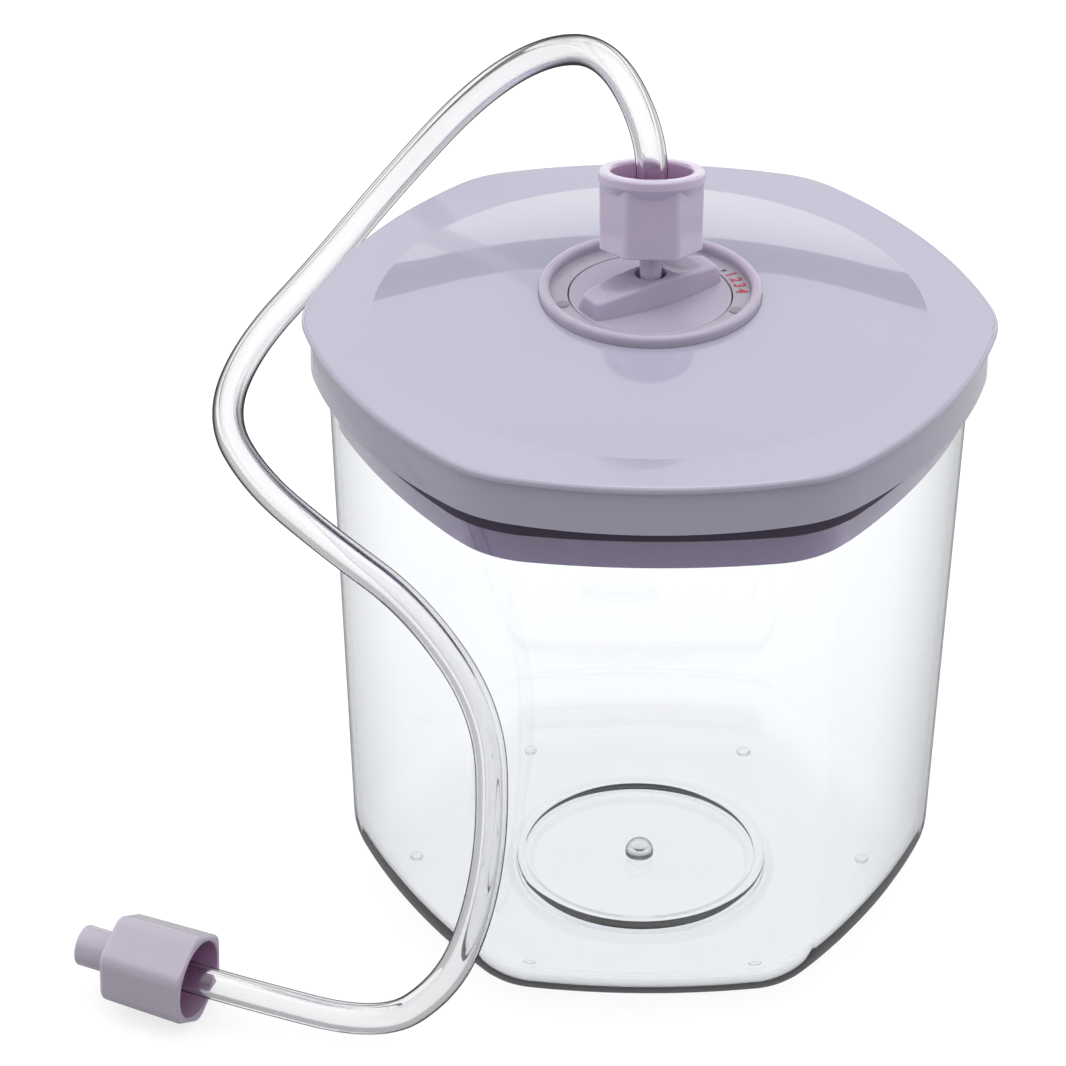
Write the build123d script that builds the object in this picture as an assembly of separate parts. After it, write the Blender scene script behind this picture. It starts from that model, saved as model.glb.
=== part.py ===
from build123d import *
import math
import os

# Vacuum seal food canister: a clear drafted tank with six bowed sides, a domed lid
# with a turning seal knob and a cam valve inside it, and a clear suction hose.
# Millimetres, +Z up, origin on the table under the middle of the tank.
# The corners of the bowed hexagons lie on the X axis, and the viewer stands at -Y.

# Tank
tank_height = 139.5
tank_rim_apothem = 66.9
tank_draft_run = 5.1
tank_side_bow = 165.0
tank_corner_radius = 19.7
tank_wall = 2.3
tank_floor = 3.2
tank_bottom_radius = 15.3
tank_rim_edge = 0.5
foot_height = 0.5
foot_radius = 1.7
foot_inset = 10.0
foot_count = 6
floor_bead_radius = 28.0
floor_bead_width = 2.6
floor_bead_height = 0.7
floor_nub_radius = 3.2
floor_nub_height = 3.8

# Lid cover
lip_overhang = 1.3
lip_side_bow = 120.0
lip_corner_radius = 25.0
cover_wall = 1.8
lip_top_edge = 1.2
lip_bottom_edge = 0.5
skirt_stand = 5.1
skirt_side_bow = 110.0
skirt_corner_radius = 30.0
skirt_depth = 10.5
skirt_wall = 1.6
margin_width = 11.9
dome_rise = 6.8
dial_seat_depth = 1.6
dial_seat_wall = 2.0

# Dial ring and its two position dots
dial_radius = 24.5
dial_bead_section = 1.18
dial_bead_lift = 1.5
dial_floor = 1.5
dial_fillet = 0.5
dial_neck_radius = 21.85
dial_neck_wall = 1.4
dial_neck_depth = 3.0
dial_snap_reach = 0.55
dial_snap_height = 0.8
dot_radius = 1.4
dot_depth = 0.8
dot_proud = 0.2
dot_pitch_radius = 19.9
dot_angles = (194.5, 338.9)

# Seal knob
knob_radius = 17.9
knob_plate = 2.0
knob_plate_edge = 0.3
knob_angle = 34.0
handle_half_length = 17.1
handle_half_width = 6.3
handle_end_half_width = 4.0
handle_end_batter = 1.3
handle_side_batter = 1.8
handle_height = 5.3
handle_end_height = 3.3
handle_corner = 1.6
handle_edge = 1.1
scoop_radius = 15.0
scoop_depth = 1.2
scoop_offset_share = 0.56
port_radius = 3.55
port_depth = 6.0
channel_radius = 2.0
hub_radius = 7.5
hub_foot = 1.45
knob_throw_angle = 55.0

# Ring seal, clip and grommet on the knob
ring_seal_section = 0.9
ring_groove_slack = 0.1
clip_thickness = 1.0
clip_seat_radius = 6.2
clip_radius = 9.6
clip_mouth_angle = 70.0
grommet_thickness = 1.7
grommet_hole_radius = 1.6

# Plug that carries the gasket and the valve
plug_plate = 2.0
plug_wall = 2.0
plug_upstand_wall = 1.6
plug_upstand_height = 2.0
collar_depth = 19.3
collar_clearance = 0.55
boss_radius = 10.0
boss_rib_count = 6
boss_rib_width = 1.6
socket_wall = 1.5
socket_depth = 3.5

# Gasket
gasket_flange = 1.5
gasket_lip_wall = 1.5
gasket_lip_depth = 8.5
gasket_lip_edge = 0.4

# Valve in the lid
plunger_radius = 3.5
plunger_travel = 2.0
plunger_length = 13.4
plunger_bore_radius = 2.0
plunger_bore_floor = 0.4
vent_radius = 0.5
pin_radius = 1.0
pin_half_length = 9.8
pin_headroom = 3.5
pin_slot_clearance = 0.15
seal_radius = 4.5
seal_thickness = 1.5
seal_neck_radius = 1.5
seal_head_radius = 2.3
seal_head_height = 0.8
valve_radius = 13.0
valve_wall = 1.6
valve_port_radius = 3.2
valve_seat_wall = 1.0
valve_seat_height = 0.6
guide_rib_radius = 8.0
guide_rib_width = 5.0
guide_rib_gap = 0.7
guard_wall = 1.4
guard_skirt = 4.6
guard_floor = 1.2
guard_standoff = 0.7
guard_ledge = 1.5
guard_hole_radius = 1.0
guard_hole_pitch = 4.2
guard_hole_rings = 2

# Hose fittings: one in the knob's port, one for the pump
fitting_circumradius = 11.7
fitting_foot_circumradius = 11.5
fitting_corner = 1.8
fitting_length = 17.9
fitting_rim_radius = 11.82
fitting_rim_height = 2.2
fitting_rim_edge = 0.8
fitting_rim_blend = 2.4
fitting_bore_radius = 8.9
fitting_floor = 3.0
fitting_edge = 0.4
nipple_radius = 1.9
nipple_height = 14.4
nipple_bore_radius = 1.1
hose_seat = 5.0
stem_stand = 5.31
stem_insertion = 3.5
stem_radius = 2.6
stem_tip_radius = 2.3
pump_circumradius = 11.7
pump_foot_circumradius = 11.2
pump_corner = 3.8
pump_length = 20.5
pump_back_edge = 1.4
pump_mouth_edge = 0.8
pump_mouth_lip = 0.3
nozzle_length = 9.0
nozzle_radius = 4.7
nozzle_bore_radius = 3.2
nozzle_bore_depth = 10.0

# Hose
hose_radius = 3.5
hose_bore_radius = 2.0
hose_arch = [
    (0.0, 2.5, 10.0),
    (0.0, 7.5, 30.0),
    (-9.5, 27.0, 40.5),
    (-23.0, 52.5, 28.5),
    (-39.5, 65.5, 10.5),
]
hose_side_place_shares = [
    (-0.7913, 0.8799),
    (-1.0164, 0.6958),
    (-1.2347, 0.3752),
    (-1.2960, -0.0546),
    (-1.1664, -0.4229),
    (-0.9482, -0.7162),
    (-0.6821, -0.9004),
    (-0.4707, -1.0300),
    (-0.4570, -1.0914),
    (-0.5048, -1.0982),
    (-0.6003, -1.0641),
]
hose_side_height_shares = (0.927, 0.829, 0.7785, 0.775, 0.775, 0.7655, 0.715, 0.5855, 0.4145, 0.2625, 0.136)
hose_table_run = [
    (-58.5, -70.0, 4.0),
    (-90.5, -66.0, 11.0),
    (-113.5, -55.5, 11.5),
]
bend_share = 0.45

# Clearances
close_fit = 0.02
slide_fit = 0.05
seat_gap = 0.3
running_gap = 0.2
part_gap = 0.1
overrun = 1.0

# Angles of a six-sided form
full_turn = 360.0
half_turn = 180.0
quarter_turn = 90.0
side_count = 6
side_turn = full_turn / side_count
half_side_turn = side_turn / 2

# Heights that follow from the sizes above
tank_floor_top = foot_height + tank_floor
tank_base_apothem = tank_rim_apothem - tank_draft_run
foot_pitch_radius = tank_base_apothem - foot_inset
skirt_apothem = tank_rim_apothem + skirt_stand
lip_apothem = skirt_apothem + lip_overhang
dome_radius = lip_apothem - margin_width
plug_underside = tank_height + seat_gap + gasket_flange
plug_top = plug_underside + plug_plate
lip_underside_height = plug_top + plug_upstand_height
lid_top_height = lip_underside_height + cover_wall
dome_sphere = (dome_radius**2 + dome_rise**2) / (2 * dome_rise)
dial_seat_radius = dial_radius + part_gap


def dome_height(radius):
    """Height of the dome's outside at a distance from the axis."""
    sagitta = dome_sphere - math.sqrt(dome_sphere**2 - radius**2)
    return lid_top_height + dome_rise - sagitta


dial_seat_height = dome_height(dial_seat_radius) - dial_seat_depth
dial_hole_radius = dial_neck_radius + part_gap
dial_floor_top = dial_seat_height + dial_floor
knob_top = dial_floor_top
knob_underside = knob_top - knob_plate
port_top = knob_top + handle_height
boss_top = knob_underside - seat_gap
boss_bore_radius = hub_radius + running_gap
ring_seal_height = (plug_underside + boss_top) / 2
clip_top = plug_underside - seat_gap
clip_bottom = clip_top - clip_thickness
pin_height = clip_bottom - pin_headroom - plunger_travel
hub_bottom_height = pin_height - pin_radius - pin_slot_clearance - hub_foot
plunger_bottom_height = hub_bottom_height - plunger_travel - seat_gap
seal_bottom = plunger_bottom_height - seal_thickness
valve_floor_top = seal_bottom - seat_gap - valve_seat_height
valve_bottom = valve_floor_top - valve_wall


def hose_route():
    """Route of the hose: an arch over the lid, a fall beside the tank and a run on the table."""
    arch = [(x, y, port_top + rise) for x, y, rise in hose_arch]
    places = [(x * lip_apothem, y * lip_apothem) for x, y in hose_side_place_shares]
    side = [(*place, share * port_top) for place, share in zip(places, hose_side_height_shares)]
    return arch + side + hose_table_run


hose_points = hose_route()


def direction(angle):
    """Unit vector in the XY plane at an angle in degrees from +X."""
    return Vector(math.cos(math.radians(angle)), math.sin(math.radians(angle)), 0)


def bowed_hexagon(outline):
    """Face of six bowed sides joined by six round corners, with corners on the X axis."""
    apothem, bow, corner = outline
    lag = bow - apothem
    cosine, sine = (math.cos(math.radians(half_side_turn)), math.sin(math.radians(half_side_turn)))
    reach = math.sqrt((bow - corner) ** 2 - (lag * sine) ** 2) - lag * cosine

    def joint(corner_index, side_index):
        side_centre = direction(half_side_turn + side_turn * side_index) * -lag
        corner_centre = direction(side_turn * corner_index) * reach
        return side_centre + (corner_centre - side_centre).normalized() * bow

    arcs = []
    for index in range(side_count):
        tip = direction(side_turn * index) * (reach + corner)
        middle = direction(half_side_turn + side_turn * index) * apothem
        arcs.append(ThreePointArc(joint(index, index - 1), tip, joint(index, index)))
        arcs.append(ThreePointArc(joint(index, index), middle, joint(index + 1, index)))
    return make_face(arcs)


def grown(outline, amount):
    """The same outline moved out by an amount, or in by a negative one."""
    return tuple(length + amount for length in outline)


def prism(outline, bottom, top):
    """Straight prism of a bowed hexagon between two heights."""
    return Pos(0, 0, bottom) * extrude(bowed_hexagon(outline), top - bottom)


def hexagon_ring(outer, inner, bottom, top):
    """Hexagonal tube between two outlines and two heights."""
    return prism(outer, bottom, top) - prism(inner, bottom - overrun, top + overrun)


def tube(outer, bore, bottom, top):
    """Round tube between two radii and two heights."""
    return rod(outer, bottom, top) - rod(bore, bottom - overrun, top + overrun)


def rod(radius, bottom, top):
    """Round bar on the Z axis between two heights."""
    return Pos(0, 0, bottom) * extrude(Circle(radius), top - bottom)


def turned(*edges):
    """Solid of revolution about Z from a closed outline of (radius, height) edges."""
    return revolve(Plane.XZ * make_face(edges), Axis.Z)


def tank_outline(height):
    """Outside of the drafted tank wall at a height."""
    draft = (tank_rim_apothem - tank_base_apothem) / (tank_height - foot_height)
    base = (tank_base_apothem, tank_side_bow, tank_corner_radius)
    return grown(base, draft * (height - foot_height))


def drafted_block(inset, bottom, top, edge):
    """Drafted block that follows the tank wall at an inset, with a round bottom edge."""
    faces = [Pos(0, 0, z) * bowed_hexagon(grown(tank_outline(z), -inset)) for z in (bottom, top)]
    block = loft(faces, ruled=True)
    return fillet(block.edges().group_by(Axis.Z)[0], edge)


def floor_nub():
    """Round nub at the middle of the tank floor, a ball whose foot sinks into the floor."""
    ball = (floor_nub_radius**2 + floor_nub_height**2) / (2 * floor_nub_height)
    return Pos(0, 0, tank_floor_top + floor_nub_height - ball) * Sphere(ball)


def floor_bead():
    """Low round-topped ring on the tank floor."""
    half = floor_bead_width / 2
    inner = (floor_bead_radius - half, tank_floor_top)
    crest = (floor_bead_radius, tank_floor_top + floor_bead_height)
    outer = (floor_bead_radius + half, tank_floor_top)
    root = tank_floor_top - tank_floor / 2
    foot = Polyline(outer, (outer[0], root), (inner[0], root), inner)
    return turned(ThreePointArc(inner, crest, outer), foot)


def make_tank():
    """Clear tank with a drafted wall, six moulded feet, a floor bead and a floor nub."""
    outside = drafted_block(0, foot_height, tank_height, tank_bottom_radius)
    inner_edge = tank_bottom_radius - tank_wall
    inside = drafted_block(tank_wall, tank_floor_top, tank_height + overrun, inner_edge)
    shell = outside - inside
    shell = fillet(shell.edges().group_by(Axis.Z)[-1], tank_rim_edge)
    feet = [
        Pos(*direction(side_turn * index) * foot_pitch_radius)
        * rod(foot_radius, 0, tank_floor_top - tank_floor / 2)
        for index in range(foot_count)
    ]
    return shell + feet + floor_bead() + floor_nub()


lip_outline = (lip_apothem, lip_side_bow, lip_corner_radius)
skirt_outline = (skirt_apothem, skirt_side_bow, skirt_corner_radius)
skirt_bottom = lip_underside_height - skirt_depth


def dome():
    """Thin dome with a counterbored seat for the dial ring."""
    boss_edge = dial_seat_radius + dial_seat_wall
    seat_bottom = dial_seat_height - dial_seat_wall
    outer_mid = (dome_radius + dial_seat_radius) / 2
    inner_mid = (dome_radius + boss_edge) / 2
    rim_top = (dome_radius, lid_top_height)
    seat_top = (dial_seat_radius, dome_height(dial_seat_radius))
    rim_bottom = (dome_radius, lid_top_height - cover_wall)
    boss_top_edge = (boss_edge, dome_height(boss_edge) - cover_wall)
    outer_arc = ThreePointArc(rim_top, (outer_mid, dome_height(outer_mid)), seat_top)
    inner_arc = ThreePointArc(boss_top_edge, (inner_mid, dome_height(inner_mid) - cover_wall), rim_bottom)
    seat = Polyline(
        seat_top,
        (dial_seat_radius, dial_seat_height),
        (dial_hole_radius, dial_seat_height),
        (dial_hole_radius, seat_bottom),
        (boss_edge, seat_bottom),
        boss_top_edge,
    )
    return turned(outer_arc, seat, inner_arc, Line(rim_bottom, rim_top))


def make_lid_cover():
    """Outer lid shell: flat margin with an overhanging lip, skirt and dome."""
    margin = prism(lip_outline, lip_underside_height, lid_top_height)
    margin = fillet(margin.edges().group_by(Axis.Z)[-1], lip_top_edge)
    margin = fillet(margin.edges().group_by(Axis.Z)[0], lip_bottom_edge)
    margin -= rod(dome_radius, lip_underside_height - overrun, lid_top_height + overrun)
    inner = grown(skirt_outline, -skirt_wall)
    skirt = hexagon_ring(skirt_outline, inner, skirt_bottom, lip_underside_height)
    return margin + skirt + dome()


def make_dial_ring():
    """Fixed dial: a recessed floor inside a round bead, with a neck that snaps into the lid."""
    bead_radius = dial_radius - dial_bead_section
    bead_height = dial_floor_top + dial_bead_lift
    bead_inside = bead_radius - dial_bead_section
    neck_inside = dial_neck_radius - dial_neck_wall
    neck_bottom = dial_seat_height - dial_neck_depth
    snap_radius = dial_neck_radius + dial_snap_reach
    snap_top = dial_seat_height - dial_seat_wall - part_gap
    snap_bottom = snap_top - dial_snap_height
    inner_radius = knob_radius + seat_gap
    fillet_side = (bead_inside, dial_floor_top + dial_fillet)
    fillet_foot = (bead_inside - dial_fillet, dial_floor_top)
    bead_outer = (dial_radius, bead_height)
    bead_inner = (bead_inside, bead_height)
    outline = [
        ThreePointArc(bead_outer, (bead_radius, bead_height + dial_bead_section), bead_inner),
        Line(bead_inner, fillet_side),
        RadiusArc(fillet_side, fillet_foot, dial_fillet),
        Polyline(
            fillet_foot,
            (inner_radius, dial_floor_top),
            (inner_radius, dial_seat_height),
            (neck_inside, dial_seat_height),
            (neck_inside, neck_bottom),
            (dial_neck_radius, neck_bottom),
            (snap_radius, snap_bottom),
            (snap_radius, snap_top),
            (dial_neck_radius, snap_top),
            (dial_neck_radius, dial_seat_height),
            (dial_radius, dial_seat_height),
            bead_outer,
        ),
    ]
    ring = turned(*outline)
    for spot in dot_places():
        ring -= spot * rod(dot_radius + close_fit, -dot_depth, dot_depth)
    return ring


def dot_places():
    """Places of the two position dots on the dial floor."""
    return [
        Pos(0, 0, dial_floor_top) * Pos(*direction(angle) * dot_pitch_radius) for angle in dot_angles
    ]


def make_position_dots():
    """Two inlaid dots that mark the knob's positions."""
    dot = rod(dot_radius, -dot_depth, dot_proud)
    dot = fillet(dot.edges().group_by(Axis.Z)[-1], dot_proud / 2)
    return [spot * dot for spot in dot_places()]


def handle_face(half_length, half_width, end_half_width, height):
    """Plan of the bar handle at a height: bowed sides and blunt ends."""
    left_low = (-half_length, -end_half_width, height)
    right_low = (half_length, -end_half_width, height)
    right_high = (half_length, end_half_width, height)
    left_high = (-half_length, end_half_width, height)
    return make_face(
        [
            ThreePointArc(left_low, (0, -half_width, height), right_low),
            Line(right_low, right_high),
            ThreePointArc(right_high, (0, half_width, height), left_high),
            Line(left_high, left_low),
        ]
    )


def handle_crown():
    """Side view of the handle, lower at its ends than at its middle, cut through its width."""
    low = knob_underside + knob_plate / 2
    half = handle_half_length + overrun
    left = (-half, knob_top + handle_end_height)
    right = (half, knob_top + handle_end_height)
    view = make_face(
        [
            ThreePointArc(left, (0, port_top), right),
            Polyline(right, (half, low), (-half, low), left),
        ]
    )
    return extrude(Plane.XZ * view, handle_half_width + overrun, both=True)


def make_handle():
    """Bar handle of the knob: tapered sides, a crowned top and a thumb scoop on each half."""
    root = knob_underside + knob_plate / 2
    foot = handle_face(handle_half_length, handle_half_width, handle_end_half_width, root)
    top_half_length = handle_half_length - handle_end_batter
    top_half_width = handle_half_width - handle_side_batter
    top = handle_face(top_half_length, top_half_width, handle_end_half_width - handle_end_batter, port_top)
    bar = loft([foot, top], ruled=True) & handle_crown()
    upright = [edge for edge in bar.edges() if edge.bounding_box().size.Z > handle_end_height / 2]
    bar = fillet(upright, handle_corner)
    bar = fillet(bar.edges().filter_by(lambda edge: edge.bounding_box().min.Z > knob_top), handle_edge)
    for side in (-1, 1):
        scoop_height = port_top - scoop_depth + scoop_radius
        scoop_place = side * scoop_offset_share * handle_half_length
        bar -= Pos(scoop_place, 0, scoop_height) * Sphere(scoop_radius)
    return bar


def cam_slot():
    """Helical slot in the hub wall that lifts the plunger pin as the knob turns."""
    width = 2 * (pin_radius + pin_slot_clearance)
    wall_middle = (hub_radius + plunger_radius) / 2
    depth = hub_radius - plunger_radius + 2 * overrun
    pitch = plunger_travel * full_turn / knob_throw_angle
    ramp = Helix(pitch, plunger_travel, wall_middle)
    section = Plane(origin=ramp @ 0, x_dir=(1, 0, 0), z_dir=ramp % 0) * Rectangle(depth, width)
    slot = sweep(section, path=ramp, is_frenet=True)
    pin_end = Pos(wall_middle, 0, 0) * Rot(0, quarter_turn, 0) * Cylinder(width / 2, depth)
    raised = Pos(0, 0, plunger_travel) * Rot(0, 0, knob_throw_angle) * pin_end
    return Pos(0, 0, pin_height) * (slot + pin_end + raised)


def make_knob():
    """Seal knob: round plate, bar handle, and a hollow hub with grooves and two cam slots."""
    plate = rod(knob_radius, knob_underside, knob_top)
    plate = fillet(plate.edges().group_by(Axis.Z)[-1], knob_plate_edge)
    knob = plate + Rot(0, 0, knob_angle) * make_handle() + rod(hub_radius, hub_bottom_height, knob_top)
    port_floor = port_top - port_depth
    knob -= rod(port_radius, port_floor, port_top + overrun)
    knob -= rod(channel_radius, hub_bottom_height, port_top)
    plunger_room = plunger_bottom_height + plunger_length + plunger_travel + seat_gap
    knob -= rod(plunger_radius + slide_fit, hub_bottom_height - overrun, plunger_room)
    groove_half = ring_seal_section + ring_groove_slack
    groove_floor = boss_bore_radius - part_gap - 2 * ring_seal_section - slide_fit
    knob -= tube(
        hub_radius + overrun, groove_floor, ring_seal_height - groove_half, ring_seal_height + groove_half
    )
    clip_low = clip_bottom - slide_fit
    knob -= tube(hub_radius + overrun, clip_seat_radius, clip_low, clip_top + slide_fit)
    slot = cam_slot()
    knob -= slot
    knob -= Rot(0, 0, half_turn) * slot
    return knob


def make_knob_ring_seal():
    """Ring seal between the knob's hub and the boss of the plug."""
    outer = boss_bore_radius - part_gap
    return Pos(0, 0, ring_seal_height) * Torus(outer - ring_seal_section, ring_seal_section)


def make_knob_clip():
    """Open spring clip in the hub's lower groove that holds the knob down."""
    ring = tube(clip_radius, clip_seat_radius + part_gap, clip_bottom, clip_top)
    reach = 2 * clip_radius
    half_mouth = clip_mouth_angle / 2
    mouth = make_face(
        Polyline(
            (0, 0),
            tuple(direction(quarter_turn - half_mouth) * reach),
            tuple(direction(quarter_turn + half_mouth) * reach),
            (0, 0),
        )
    )
    cutter = Pos(0, 0, clip_bottom - overrun) * extrude(mouth, clip_thickness + 2 * overrun)
    return ring - cutter


def make_port_grommet():
    """Soft washer at the bottom of the knob's port that the hose stem presses on."""
    floor = port_top - port_depth
    return tube(port_radius - close_fit, grommet_hole_radius, floor, floor + grommet_thickness)


skirt_inner = grown(skirt_outline, -skirt_wall)
plug_outline = grown(skirt_inner, -part_gap)
collar_bottom = plug_underside - collar_depth
collar_outline = grown(tank_outline(collar_bottom), -tank_wall - collar_clearance)


def make_lid_plug():
    """Inner lid moulding: plate, upstand to the cover, deep collar, knob boss and valve socket."""
    plate = prism(plug_outline, plug_underside, plug_top)
    upstand = hexagon_ring(
        plug_outline, grown(plug_outline, -plug_upstand_wall), plug_top, lip_underside_height
    )
    collar = hexagon_ring(collar_outline, grown(collar_outline, -plug_wall), collar_bottom, plug_underside)
    plug = plate + upstand + collar + rod(boss_radius, plug_top, boss_top)
    rib_height = lip_underside_height - plug_top
    rib_length = dome_radius - boss_bore_radius - part_gap
    rib = Pos(boss_bore_radius + part_gap + rib_length / 2, 0, plug_top + rib_height / 2)
    rib *= Box(rib_length, boss_rib_width, rib_height)
    plug += [Rot(0, 0, side_turn * index) * rib for index in range(boss_rib_count)]
    socket_bore = valve_radius + part_gap
    plug += tube(socket_bore + socket_wall, socket_bore, plug_underside - socket_depth, plug_underside)
    return plug - rod(boss_bore_radius, plug_underside - overrun, boss_top + overrun)


def make_lid_gasket():
    """Gasket with a flat flange over the tank's rim and a lip that hangs outside the wall."""
    lip_inner = grown(tank_outline(tank_height), seat_gap)
    lip_outer = grown(lip_inner, gasket_lip_wall)
    flange_bottom = tank_height + seat_gap
    flange = hexagon_ring(lip_outer, grown(collar_outline, part_gap), flange_bottom, plug_underside)
    lip = hexagon_ring(lip_outer, lip_inner, tank_height - gasket_lip_depth, flange_bottom)
    lip = fillet(lip.edges().group_by(Axis.Z)[0], gasket_lip_edge)
    return flange + lip


def make_valve_plunger():
    """Hollow plunger with a vent, a cross hole for its pin and a headed neck for its seal."""
    top = plunger_bottom_height + plunger_length
    body = rod(plunger_radius, plunger_bottom_height, top)
    neck = rod(seal_neck_radius, seal_bottom - seal_head_height, plunger_bottom_height)
    head = rod(seal_head_radius, seal_bottom - seal_head_height, seal_bottom)
    body = body + neck + head
    bore_floor = plunger_bottom_height + plunger_bore_floor
    body -= rod(plunger_bore_radius, bore_floor, top + overrun)
    vent_length = 2 * (plunger_radius + overrun)
    body -= Pos(0, 0, bore_floor + vent_radius) * Rot(quarter_turn, 0, 0) * Cylinder(vent_radius, vent_length)
    cross = Rot(0, quarter_turn, 0) * Cylinder(pin_radius + close_fit, vent_length)
    return body - Pos(0, 0, pin_height) * cross


def make_plunger_pin():
    """Cross pin that joins the plunger to the cam slots and the guide ribs."""
    return Pos(0, 0, pin_height) * Rot(0, quarter_turn, 0) * Cylinder(pin_radius, 2 * pin_half_length)


def make_plunger_seal():
    """Soft washer that closes the valve port."""
    washer = tube(seal_radius, seal_neck_radius + close_fit, seal_bottom, plunger_bottom_height)
    return fillet(washer.edges().filter_by(GeomType.CIRCLE).group_by(SortBy.RADIUS)[-1], part_gap)


def guide_rib():
    """Rib inside the valve cup whose open slot keeps the pin from turning."""
    inner = valve_radius - valve_wall / 2
    top = clip_bottom - guide_rib_gap
    rib_depth = inner - guide_rib_radius
    rib = Pos(guide_rib_radius + rib_depth / 2, 0, (valve_floor_top + top) / 2)
    rib *= Box(rib_depth, guide_rib_width, top - valve_floor_top)
    slot_width = 2 * (pin_radius + part_gap)
    slot_bottom = pin_height - pin_radius - pin_slot_clearance
    slot_reach = pin_half_length + seat_gap
    slot = Pos(slot_reach / 2, 0, slot_bottom + (top + overrun - slot_bottom) / 2)
    slot *= Box(slot_reach, slot_width, top + overrun - slot_bottom)
    return rib - slot


def make_valve_body():
    """Valve cup under the plug with a port, a raised seat and two guide ribs."""
    cup = rod(valve_radius, valve_bottom, plug_underside)
    cup -= rod(valve_radius - valve_wall, valve_floor_top, plug_underside + overrun)
    seat_radius = valve_port_radius + valve_seat_wall
    cup += rod(seat_radius, valve_floor_top, valve_floor_top + valve_seat_height)
    rib = guide_rib()
    cup += [rib, Rot(0, 0, half_turn) * rib]
    return cup - rod(valve_port_radius, valve_bottom - overrun, seal_bottom)


def make_valve_guard():
    """Perforated cap that keeps food away from the valve port."""
    bore = valve_radius + slide_fit
    bottom = valve_bottom - guard_standoff - guard_floor
    cap = rod(bore + guard_wall, bottom, valve_bottom + guard_skirt)
    cap -= rod(bore, valve_bottom, valve_bottom + guard_skirt + overrun)
    cap -= rod(valve_radius - guard_ledge, bottom + guard_floor, valve_bottom + overrun)
    hole = rod(guard_hole_radius, bottom - overrun, bottom + guard_floor + overrun)
    holes = [hole]
    for ring in range(1, guard_hole_rings + 1):
        count = side_count * ring
        for index in range(count):
            place = direction(full_turn * index / count) * guard_hole_pitch * ring
            holes.append(Pos(*place) * hole)
    return cap - holes


def cut_hexagon(circumradius, corner, height):
    """Flat-sided hexagon with round corners at a height, a corner on +X."""
    return Pos(0, 0, height) * fillet(RegularPolygon(circumradius, side_count).vertices(), corner)


def fitting_body(circumradii, corner, length, edge):
    """Slightly drafted hexagonal body of a hose fitting, with a round edge at its foot."""
    foot, mouth = circumradii
    body = loft([cut_hexagon(foot, corner, 0), cut_hexagon(mouth, corner, length)], ruled=True)
    return fillet(body.edges().group_by(Axis.Z)[0], edge)


def hollowed(body, length, edge):
    """Cup bored into a fitting, with the hose nipple standing in it."""
    cup = rod(fitting_bore_radius, fitting_floor, length + overrun)
    body -= cup
    mouth = body.edges().filter_by(GeomType.CIRCLE).group_by(Axis.Z)[-1].group_by(SortBy.RADIUS)[0]
    body = fillet(mouth, edge)
    body += rod(nipple_radius, fitting_floor - fitting_edge, nipple_height)
    return body


def make_hose_adapter():
    """Fitting that plugs into the knob: round rim, hexagonal grip, cup, nipple and stem."""
    grip_length = fitting_length - fitting_rim_height
    circumradii = (fitting_foot_circumradius, fitting_circumradius)
    body = fitting_body(circumradii, fitting_corner, grip_length, fitting_edge)
    flat_radius = fitting_circumradius * math.cos(math.radians(half_side_turn))
    rim = rod(fitting_rim_radius, grip_length, fitting_length)
    rim = fillet(rim.edges().group_by(Axis.Z)[-1], fitting_rim_edge)
    blend = Cone(flat_radius, fitting_rim_radius, fitting_rim_blend)
    rim += Pos(0, 0, grip_length - fitting_rim_blend / 2) * blend
    body = hollowed(body + rim, fitting_length, fitting_rim_edge)
    stem_length = stem_stand + stem_insertion
    stem = Cone(stem_tip_radius, stem_radius, stem_length)
    body += Pos(0, 0, -stem_length / 2) * stem
    body -= rod(nipple_bore_radius, -stem_length - overrun, nipple_height + overrun)
    return knob_fitting_plane() * body


def knob_fitting_plane():
    """Frame of the upper fitting: it leans back as the hose's first run does."""
    lean = (Vector(*hose_points[1]) - Vector(*hose_points[0])).normalized()
    foot = Vector(0, 0, port_top) + lean * stem_stand
    return Plane(origin=foot, x_dir=(1, 0, 0), z_dir=lean)


def pump_fitting_plane():
    """Frame of the pump fitting: in line with the hose's last run, a corner straight down."""
    end = Vector(*hose_points[-1])
    inward = (Vector(*hose_points[-2]) - end).normalized()
    upright = Vector(0, 0, 1) - inward * inward.Z
    return Plane(origin=end - inward * hose_seat, x_dir=upright, z_dir=inward)


def make_pump_adapter():
    """Fitting for the pump's suction port: hexagonal grip, cup, nipple and round nozzle."""
    circumradii = (pump_foot_circumradius, pump_circumradius)
    body = fitting_body(circumradii, pump_corner, pump_length, pump_back_edge)
    body = fillet(body.edges().group_by(Axis.Z)[-1], pump_mouth_edge)
    body = hollowed(body, pump_length, pump_mouth_lip)
    nozzle = Cylinder(nozzle_radius, nozzle_length)
    nozzle = fillet(nozzle.edges().group_by(Axis.Z)[0], fitting_edge)
    body += Pos(0, 0, -nozzle_length / 2) * nozzle
    body -= rod(nozzle_bore_radius, -nozzle_length - overrun, nozzle_bore_depth - nozzle_length)
    body -= rod(nipple_bore_radius, -nozzle_length, nipple_height + overrun)
    return pump_fitting_plane() * body


def bend_radii():
    """Bend radius at each inner point of the hose, as large as its two runs allow."""
    points = [Vector(*point) for point in hose_points]
    radii = []
    for before, here, after in zip(points, points[1:], points[2:]):
        first, second = here - before, after - here
        half_angle = math.radians(first.get_angle(second)) / 2
        radii.append(bend_share * min(first.length, second.length) / math.tan(half_angle))
    return radii


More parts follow.
